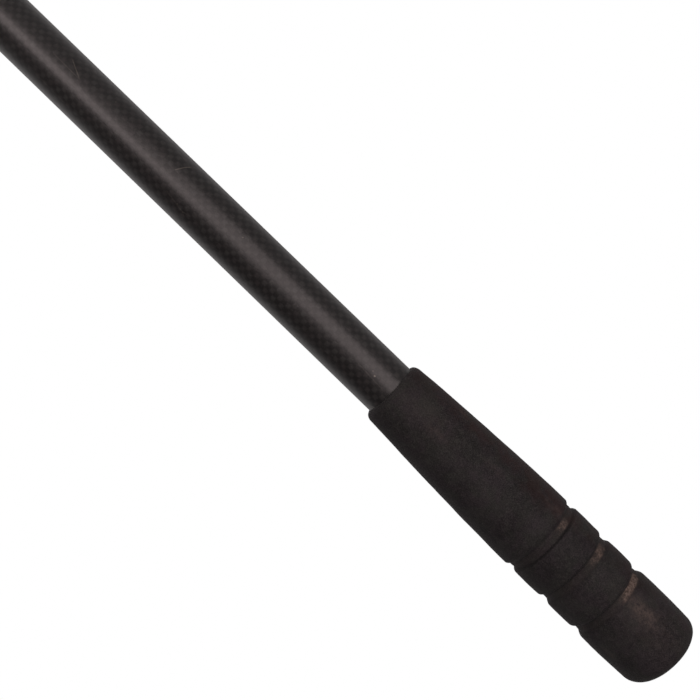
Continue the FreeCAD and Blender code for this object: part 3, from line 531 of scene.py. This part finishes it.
def grip_profile(foot, top):
    """(radius, height) points: the bore from its blind end, the collar, the skin, the domed end."""
    length = top - foot
    end_start = length - END_ROUND - END_DOME
    fine = [groove.middle + step * FINE_STEP
            for groove in GROOVES for step in range(-FINE_STEPS, FINE_STEPS + 1)]
    coarse = [a for a in np.arange(COLLAR_RUN, end_start, COARSE_STEP)
              if min(abs(a - groove.middle) for groove in GROOVES) > COARSE_CLEARANCE]
    stations = np.array(sorted(fine + coarse))
    collar_edge, end_edge = grip_radius(np.array([COLLAR_RUN, end_start]), length)

    bore_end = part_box("shaft_end_plug")[1].z + BORE_CLEARANCE
    points = [(0, bore_end), (BORE * 0.6, bore_end)]
    points += [(BORE - BORE_EDGE, bore_end), (BORE, bore_end - BORE_EDGE)]
    points += [(BORE, foot + share * (bore_end - foot)) for share in (0.7, 0.4, 0.1, 0.004)]
    points += [(BORE + 0.25 * MM, foot)]
    for turn in np.linspace(0.0, math.pi / 2, 11)[:-1]:
        out = collar_edge - COLLAR_ROUND * (1 - math.sin(turn))
        points.append((out, foot + COLLAR_RUN * (1 - math.cos(turn))))
    points += [(r, foot + a) for r, a in zip(grip_radius(stations, length), stations)]
    for turn in np.linspace(0.0, math.pi / 2, 16):
        out = end_edge - END_ROUND * (1 - math.cos(turn))
        points.append((out, foot + end_start + END_ROUND * math.sin(turn)))
    face = end_edge - END_ROUND
    for share in (0.85, 0.68, 0.5, 0.32, 0.16, 0.0):
        points.append((face * share, top - END_DOME * share ** 2))
    return points


def revolve(profile, segments):
    """Points and faces of a closed solid of revolution whose profile starts and ends on the axis."""
    turns = 2 * math.pi * np.arange(segments) / segments
    points = [(0, 0, profile[0][1])]
    for radius, height in profile[1:-1]:
        points += [(radius * math.cos(t), radius * math.sin(t), height) for t in turns]
    points.append((0, 0, profile[-1][1]))
    rings = len(profile) - 2
    last, tip = 1 + (rings - 1) * segments, len(points) - 1
    faces = [(0, 1 + (i + 1) % segments, 1 + i) for i in range(segments)]
    faces += [tuple(1 + v for v in face) for face in ring_faces(rings, segments)]
    faces += [(last + i, last + (i + 1) % segments, tip) for i in range(segments)]
    return np.array(points), faces


def build_grip():
    """The foam grip, a little uneven, with its collar and its end not quite square to the shaft."""
    low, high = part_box("grip_sleeve")
    foot, top = low.z, high.z
    points, faces = revolve(grip_profile(foot, top), GRIP_SEGMENTS)
    a = points[:, 2] - foot
    out = np.hypot(points[:, 0], points[:, 1])
    skin = (out > BORE + 0.4 * MM) | (a > top - foot - END_ROUND)
    turn = angle_from_front(np.arctan2(points[:, 1], points[:, 0]))
    dent = sum(roughen(points, *settings) for settings in SKIN_NOISE)
    dent = np.where(skin, dent + SKIN_RISE - groove_depth(a, turn), 0)
    points[:, :2] *= (1 + dent / np.maximum(out, 4 * MM))[:, None]
    near_end = smooth(LAST_GROOVE, top - foot - END_ROUND, a) * skin
    points[:, 2] -= near_end * (END_DROP + END_SLANT * points[:, 0])
    near_collar = 1 - smooth(0, COLLAR_SLANT_REACH, a)
    front = -points[:, 1] / np.maximum(out, BORE)
    ragged = roughen(points, *COLLAR_NOISE)
    points[:, 2] += near_collar * (COLLAR_SLANT * (1 + front) + ragged)
    grip = mesh_object("grip", points, faces, foam_material())
    paint_grip(grip, a, turn, skin)
    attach(grip, "handle")
    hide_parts("grip_sleeve")


def spots(a, degrees, rows):
    """The soft spots of one table, added up at each point of the grip."""
    total = np.zeros(len(a))
    for distance, angle, length, width, strength, softness in rows:
        away = np.hypot((a / MM - distance) / length, (degrees - angle) / width)
        total += strength * (1 - smooth(1 - softness / 2, 1 + softness / 2, away))
    return total


def paint_grip(grip, a, turn, skin):
    """Where the foam is worn, stained, dirty and rubbed, and where shade and a highlight are painted
    on it, as point values its material reads.
    """
    degrees = np.degrees(turn)
    far_side = np.abs(degrees) > 95
    facing = facing_front(turn)
    fading = 1 - 0.65 * smooth(30, 65, np.abs(degrees))
    wear, crease_dirt_and_shade = np.zeros(len(a)), np.zeros(len(a))
    for groove in GROOVES:
        away, half = a - groove.middle, groove.floor / 2
        across = smooth(-half - 0.5 * MM, 0.5 * MM - half, away)
        across = across * (1 - smooth(half, half + 1.3 * MM, away))
        reach = smooth(groove.tan_start - 8, groove.tan_start + 12, degrees)
        reach = reach * (1 - smooth(groove.tan_end - 22, groove.tan_end + 24, degrees))
        uneven = 0.55 + 0.45 * np.sin(3 * turn + 40 * groove.middle / MM)
        behind = np.where(far_side, uneven, 0.2)
        wear = np.maximum(wear, across * np.maximum(groove.tan_strength * reach, behind))
        # A dark line along the crease: painted shade together with dirt, fading round the flanks.
        foot = half + groove.crease_shift * facing
        line = np.exp(-((away - groove.crease_side * (foot + 0.4 * MM)) / (0.42 * MM)) ** 2)
        # A faint painted shadow line on the far side of the floor from the crease.
        faint = np.exp(-((away + groove.crease_side * (half + 0.5 * MM)) / (0.6 * MM)) ** 2)
        dark = np.maximum(groove.crease_strength * line * fading, 0.25 * faint)
        crease_dirt_and_shade = np.maximum(crease_dirt_and_shade, dark)
    stain = spots(a, degrees, STAINS) + 0.4 * far_side
    rub_and_highlight = spots(a, degrees, RUBS_AND_HIGHLIGHTS)
    # Painted shade on the front half: darker towards +X, and a little darker round the other flank.
    painted_flank_shade = 0.21 * smooth(5, 60, degrees) + 0.06 * smooth(30, 70, -degrees)
    dirt_and_shade = 0.75 * crease_dirt_and_shade + painted_flank_shade * (1 - far_side) + spots(a, degrees, DARK_SPOTS)
    for name, values in (("wear", wear), ("stain", stain), ("dirt_and_shade", dirt_and_shade), ("rub_and_highlight", rub_and_highlight)):
        add_attribute(grip, name, np.clip(values, 0, 1.3) * skin)


# ---------------------------------------------------------------- sweeping pad
# Insets are from the pad's outline. Sizes in the tables are in mm.

PAD_CORNER = 18 * MM
PAD_MARGIN = 0.3 * MM         # the cover stays this far inside its CAD solid
OUTLINE_STEPS = {"corner": 22, "long": 84, "short": 16}
SOLE_INSETS = (17, 14, 11.5, 9.5, 8, 6.6, 5.6)
SOLE_ROUND = 4.6 * MM
BELLY_INSET = 0.25 * MM
SEAM_HEIGHT = 10.6 * MM
SEAM_DIP = ((-0.45, 0.3), (-0.25, 0.5), (0, 0.72), (0.25, 0.5), (0.45, 0.3))      # rise and inset
LIP_WIDTH = 9 * MM
LIP_THICKNESS = 0.9 * MM
LIP_ROUND = 1.3 * MM
LIP_TOP = ((2.6, 0.06), (4, 0.12), (5.5, 0.14), (7, 0.1), (7.9, 0.02))            # inset and drop
PLATE_GAP = 0.08 * MM
PLATE_INSET = 0.95            # mm, as in the tables
UNDER_LIP_INSETS = (6, 3, PLATE_INSET)
UNDER_PLATE_INSETS = (5, 11, 17)
GATHER_WAVE = 1.15 * MM
GATHER_DEPTH = 0.11 * MM
GATHER_INSET = 0.12 * MM      # a gathered ring is drawn in by this much, so that it stays inside
SLACK_DEPTH = 0.10 * MM
SLACK_RISE = 0.03 * MM


def rounded_outline(half_length, half_width, corner):
    """Points, outward directions and run lengths round a rectangle with rounded corners."""
    points, outward, runs = [], [], [0.0]
    signs = ((1, 1), (-1, 1), (-1, -1), (1, -1))
    middles = [Vector((sx * (half_length - corner), sy * (half_width - corner), 0))
               for sx, sy in signs]
    for index, middle in enumerate(middles):
        following = middles[(index + 1) % len(middles)]
        for step in range(OUTLINE_STEPS["corner"]):
            angle = math.pi / 2 * (index + step / (OUTLINE_STEPS["corner"] - 1))
            direction = Vector((math.cos(angle), math.sin(angle), 0))
            points.append(middle + corner * direction)
            outward.append(direction)
        count = OUTLINE_STEPS["long" if index % 2 == 0 else "short"]
        for step in range(1, count):
            points.append(middle.lerp(following, step / count) + corner * direction)
            outward.append(direction)
    for before, after in zip(points, points[1:]):
        runs.append(runs[-1] + (after - before).length)
    return points, outward, runs


def pad_section(height, plate_low, plate_high):
    """(inset, height, how much it gathers, 1 on the sides) from the sole's middle, round the side
    and over the lip, then back under the lip and the plate."""
    section = [(inset * MM, 0.0, 0.0, 0) for inset in SOLE_INSETS]
    for turn in np.linspace(0, math.pi / 2, 10):
        section.append((SOLE_ROUND * (1 - math.sin(turn)), SOLE_ROUND * (1 - math.cos(turn)),
                        math.sin(turn) ** 2, 1))
    belly = SEAM_HEIGHT - 0.5 * MM - SOLE_ROUND
    for share in (0.2, 0.4, 0.6, 0.8):
        section.append((BELLY_INSET * share ** 2, SOLE_ROUND + share * belly, 1.0, 1))
    for rise, inset in SEAM_DIP:
        section.append((inset * MM, SEAM_HEIGHT + rise * MM, 0.8, 1))
    for turn in np.linspace(0, math.pi / 2, 7):
        section.append((0.2 * MM + LIP_ROUND * (1 - math.cos(turn)),
                        height - LIP_ROUND + LIP_ROUND * math.sin(turn), 0.9, 1))
    section += [(inset * MM, height - drop * MM, 0.7, 1) for inset, drop in LIP_TOP]
    section += [(LIP_WIDTH - 0.25 * MM, height - 0.12 * MM, 0.5, 1),
                (LIP_WIDTH, height - 0.5 * MM, 0.5, 1),
                (LIP_WIDTH - 0.2 * MM, plate_high + PLATE_GAP, 0.3, 1)]
    section += [(inset * MM, plate_high + PLATE_GAP, 0, 1) for inset in UNDER_LIP_INSETS]
    section += [(PLATE_INSET * MM, plate_low - PLATE_GAP, 0, 1)]
    section += [(inset * MM, plate_low - PLATE_GAP, 0, 0) for inset in UNDER_PLATE_INSETS]
    return section


def add_run(pad, run, perimeter):
    """The run round the outline, on face corners so that it doesn't leap back where that closes."""
    mesh = pad.data
    corners = np.zeros(len(mesh.loops), np.int32)
    mesh.loops.foreach_get("vertex_index", corners)
    values = np.asarray(run, np.float32)[corners]
    for face in mesh.polygons:
        around = values[face.loop_start:face.loop_start + face.loop_total]
        if face.loop_total == 4 and np.ptp(around) > perimeter / 2:
            around[around < perimeter / 2] += perimeter
    add_attribute(pad, "run", values, "CORNER")


def build_pad():
    """The woven cover drawn tight over its foam, gathered at the corners and sewn below the lip."""
    low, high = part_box("pad_cover")
    plate_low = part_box("pad_plate")[0].z
    plate_high = high.z - LIP_THICKNESS - 0.15 * MM
    half_length, half_width = (high.x - low.x) / 2 - PAD_MARGIN, (high.y - low.y) / 2 - PAD_MARGIN
    path, outward, runs = rounded_outline(half_length, half_width, PAD_CORNER)
    section = pad_section(high.z, plate_low, plate_high)
    points, run, girth, side = [], [], [], []
    travelled = 0.0
    for index, (inset, rise, gathers, on_side) in enumerate(section):
        if index:
            travelled += math.dist((inset, rise), section[index - 1][:2])
        for place, direction, length in zip(path, outward, runs):
            in_corner = smooth(0.12, 0.6, min(abs(direction.x), abs(direction.y)))
            ripple = math.sin(length / GATHER_WAVE) + 0.6 * math.sin(length / (2 * GATHER_WAVE) + 1)
            slack = noise.noise(Vector((length * 70, rise * 120, 0.3)))
            gather = gathers * (GATHER_DEPTH * in_corner * ripple + SLACK_DEPTH * slack)
            spot = place - direction * (inset - gather + GATHER_INSET * gathers)
            points.append((spot.x, spot.y, max(0.0, rise + SLACK_RISE * slack * gathers)))
            run.append(length)
            girth.append(travelled)
            side.append(on_side)
    count = len(path)
    faces = ring_faces(len(section), count)
    faces.append(tuple(reversed(range(count))))
    faces.append(tuple(range((len(section) - 1) * count, len(section) * count)))
    pad = mesh_object("sweeping_pad", points, faces, fabric_material())
    add_attribute(pad, "girth", girth)
    add_attribute(pad, "side", side)
    add_run(pad, run, runs[-1] + (path[0] - path[-1]).length)
    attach(pad, "pad")
    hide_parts("pad_cover", "pad_foam")


# ---------------------------------------------------------------- CAD nodes kept as they are

# name, darker and lighter shade, roughness, grain per metre, relief, and the nodes it covers
MOULDINGS = (
    ("ferrule_nylon", (0.0125, 0.0125, 0.0135), (0.021, 0.021, 0.0225), 0.52, 1500, 0.05 * MM,
     ("ferrule", "shaft_end_plug")),
    ("head_nylon", (0.0135, 0.0135, 0.0145), (0.023, 0.023, 0.025), 0.56, 1100, 0.04 * MM,
     ("head_body",)),
    ("swivel_acetal", (0.035, 0.035, 0.038), (0.052, 0.052, 0.056), 0.38, 2200, 0.012 * MM,
     ("pivot_block",)),
    ("bush_acetal", (0.62, 0.60, 0.54), (0.74, 0.72, 0.66), 0.35, 2200, 0.01 * MM,
     ("upper_bush_front", "upper_bush_rear", "lower_bush_left", "lower_bush_right")),
    ("plate_plastic", (0.055, 0.055, 0.058), (0.085, 0.085, 0.09), 0.5, 1300, 0.03 * MM,
     ("pad_plate",)),
    ("insert_nylon", (0.42, 0.40, 0.34), (0.52, 0.50, 0.44), 0.45, 1400, 0.02 * MM,
     ("shaft_insert",)),
)
STEEL_NODES = ("ferrule_screws", "upper_pivot_bolt", "upper_pivot_nut", "upper_pivot_washers",
               "lower_pivot_bolt", "lower_pivot_nut", "lower_pivot_washers")


def dress(names, material):
    for name in names:
        materials = nodes[name].data.materials
        materials.clear()
        materials.append(material)


def dress_nodes():
    for *look, names in MOULDINGS:
        dress(names, moulded_material(*look))
    dress(STEEL_NODES, steel_material())
    dress(("shaft_tube",), carbon_material())


# ---------------------------------------------------------------- camera

PHOTO_PIXELS = 700
FOCAL_PIXELS = 900
SHAFT_PIXELS_PER_MM = 2.272
SENSOR_WIDTH = 36             # mm
ROLL = math.radians(44.07)
LEAN = math.radians(-2.5)
AIM_BELOW_COLLAR = 23.8 * MM
AIM_ASIDE = -0.40 * MM


def view_frame():
    """The camera's right, up and forward directions: it faces +Y, looks slightly down and is rolled
    so that the shaft runs from the upper left to the lower right."""
    forward = Vector((0, math.cos(LEAN), math.sin(LEAN)))
    level_up = Vector((0, -math.sin(LEAN), math.cos(LEAN)))
    across = Vector((1, 0, 0))
    right = math.cos(ROLL) * level_up - math.sin(ROLL) * across
    up = -math.sin(ROLL) * level_up - math.cos(ROLL) * across
    return right, up, forward


def orient(made, right, up, forward, place):
    turn = Matrix((right, up, -forward)).transposed()
    made.matrix_world = Matrix.Translation(place) @ turn.to_4x4()


def build_camera():
    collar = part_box("grip_sleeve")[0].z
    target = Vector((AIM_ASIDE, 0, collar - AIM_BELOW_COLLAR))
    right, up, forward = view_frame()
    data = bpy.data.cameras.new("main_camera")
    data.sensor_width = SENSOR_WIDTH
    data.lens = FOCAL_PIXELS / PHOTO_PIXELS * SENSOR_WIDTH
    data.clip_start = 0.01
    camera = bpy.data.objects.new("main_camera", data)
    bpy.context.scene.collection.objects.link(camera)
    distance = FOCAL_PIXELS / SHAFT_PIXELS_PER_MM * MM
    orient(camera, right, up, forward, target - forward * distance)
    bpy.context.scene.camera = camera
    return target


# ---------------------------------------------------------------- studio

WARM = (1.0, 0.852, 0.843)
NEUTRAL = (1.0, 0.975, 0.96)
WHITE = (1.0, 1.0, 1.0)
UP = Vector((0, 0, 1))
ASIDE = Vector((1, 0, 0))
KEY_DISTANCE = 0.86
# The backdrop's brightness from behind the camera at 0 to behind the broom at 1
BACKDROP = ((0.0, 0.12), (0.45, 0.12), (0.6, 0.21), (0.72, 0.30), (0.81, 0.44), (0.92, 0.32),
            (1.0, 0.3))
BACKDROP_WARMTH = 0.95
# What is added per unit towards +X: where that begins and ends to change, and its value at each
BACKDROP_LEAN = (0.5, 0.70, -0.055, 0.05)
FLOOR_RINGS = (0.02, 0.2, 0.4, 0.6, 0.8, 1.0, 1.15)
FLOOR_SEGMENTS = 64
FLOOR_FADE_START = 0.12
FLOOR_SHADES = ((0.86, 0.86, 0.86), (0.90, 0.90, 0.90))


def softbox(name, size, radiance, place, aim, up, colour=NEUTRAL, spread=180):
    data = bpy.data.lights.new(name, "AREA")
    data.shape = "RECTANGLE"
    data.size, data.size_y = size
    data.energy = radiance * math.pi * size[0] * size[1]
    data.color = colour
    data.spread = math.radians(spread)
    light = bpy.data.objects.new(name, data)
    light.visible_camera = False
    bpy.context.scene.collection.objects.link(light)
    forward = (aim - place).normalized()
    right = forward.cross(up).normalized()
    orient(light, right, right.cross(forward), forward, place)


def build_lights(target):
    """Softboxes round the camera for the grip, a tall one behind the broom, and narrow beams on the
    head and on the lower half of the shaft."""
    front = target + Vector((0, -KEY_DISTANCE, 0))
    softbox("key_softbox", (1.05, 0.84), 1.41, front - ASIDE * 0.315 + UP * 0.12, target, ASIDE,
            WARM)
    softbox("shaft_softbox", (0.62, 0.46), 2.4, front + ASIDE * 0.12 - UP * 0.62,
            target - UP * 0.18, ASIDE, WARM)
    for name, place in (("head_front", (-0.5, -0.9, 0.55)), ("head_rear", (0.6, 0.8, 0.5))):
        softbox(name, (0.7, 0.5), 1.2, Vector(place), UP * 0.04, UP, spread=60)
    softbox("rear_softbox", (0.45, 1.2), 1.5, Vector((0, 1.3, 0.75)), UP * 0.7, UP)
    for name, place in (("side_beam_right", (1.25, 0.35, 0.34)),
                        ("side_beam_left", (-1.2, 0.5, 0.34))):
        softbox(name, (0.3, 0.5), 1.0, Vector(place), UP * 0.32, UP, spread=28)


def build_world():
    """A soft grey studio, brightest behind the broom, which the camera itself sees as white."""
    world = bpy.data.worlds.new("studio")
    bpy.context.scene.world = world
    world.use_nodes = True
    g = Graph(world.node_tree, "Generated")
    across, ahead, _ = g.axes()
    depth = g.scaled(ahead, 0.5, 0.5)
    ramp = g.node("ShaderNodeValToRGB")
    g.feed(ramp.inputs[0], depth)
    stops = ramp.color_ramp.elements
    while len(stops) < len(BACKDROP):
        stops.new(0.5)
    for stop, (position, tone) in zip(stops, BACKDROP):
        stop.position = position
        stop.color = (tone, BACKDROP_WARMTH * tone, BACKDROP_WARMTH * tone, 1)
    lean = g.times(across, g.span(depth, *BACKDROP_LEAN))
    glow = g.node("ShaderNodeVectorMath", operation="ADD")
    g.feed_all(glow.inputs, (ramp.outputs[0], lean))
    seen = g.node("ShaderNodeLightPath").outputs["Is Camera Ray"]
    background = g.tree.nodes["Background"]
    g.feed(background.inputs["Color"], g.mix(seen, glow.outputs[0], WHITE))


def build_floor():
    """A pale disc that fades out before its rim, so that no edge shows against the backdrop."""
    turns = [2 * math.pi * i / FLOOR_SEGMENTS for i in range(FLOOR_SEGMENTS)]
    points = [(r * math.cos(t), r * math.sin(t), 0.0) for r in FLOOR_RINGS for t in turns]
    faces = [face[::-1] for face in ring_faces(len(FLOOR_RINGS), FLOOR_SEGMENTS)]
    faces.append(tuple(range(FLOOR_SEGMENTS)))
    g = Surface("floor_paint", Specular_IOR_Level=0.2)
    alpha = g.span(g.radius(), FLOOR_FADE_START, FLOOR_RINGS[-1], 1.0, 0.0)
    g.finish(g.mix(g.noise(3, 3), *FLOOR_SHADES), 0.7, alpha=alpha)
    mesh_object("floor", points, faces, g.material)


bpy.context.scene.view_settings.view_transform = "Standard"
build_world()
build_lights(build_camera())
build_floor()
dress_nodes()
build_grip()
build_pad()
